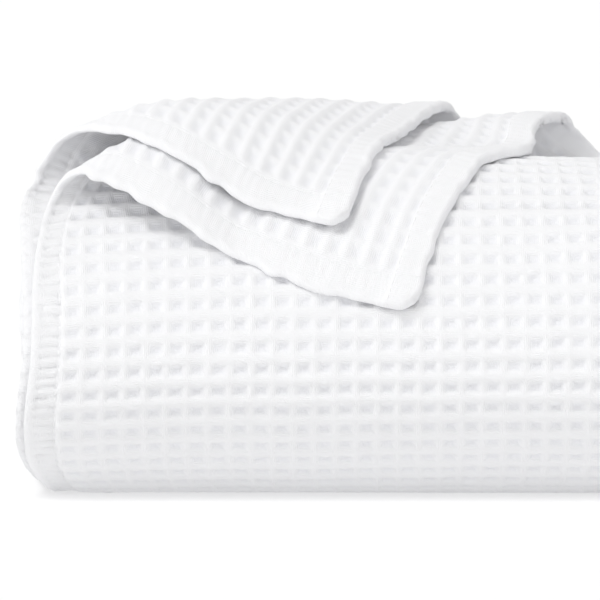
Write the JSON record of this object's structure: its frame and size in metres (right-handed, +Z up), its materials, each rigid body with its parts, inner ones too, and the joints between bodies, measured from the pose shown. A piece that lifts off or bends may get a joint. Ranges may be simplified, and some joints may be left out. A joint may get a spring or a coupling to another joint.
{
  "type": "waffle weave cotton blanket",
  "caption": "Waffle weave cotton blanket folded to a shelf bundle: even layers wrapped by a round front fold, the loose top corners turned back to show the hems.",
  "frame": {"origin": "centre of the base, on the surface the folded blanket rests on", "axes": "+X to the right along the round front fold, -Y to the front where that fold faces, +Z up"},
  "size_m": [0.3867, 0.2823, 0.1858],
  "materials": {
    "cotton": "white waffle weave cotton, matt, soft"
  },
  "bodies": {
    "root": {"blanket": "cotton"}
  },
  "joints": []
}
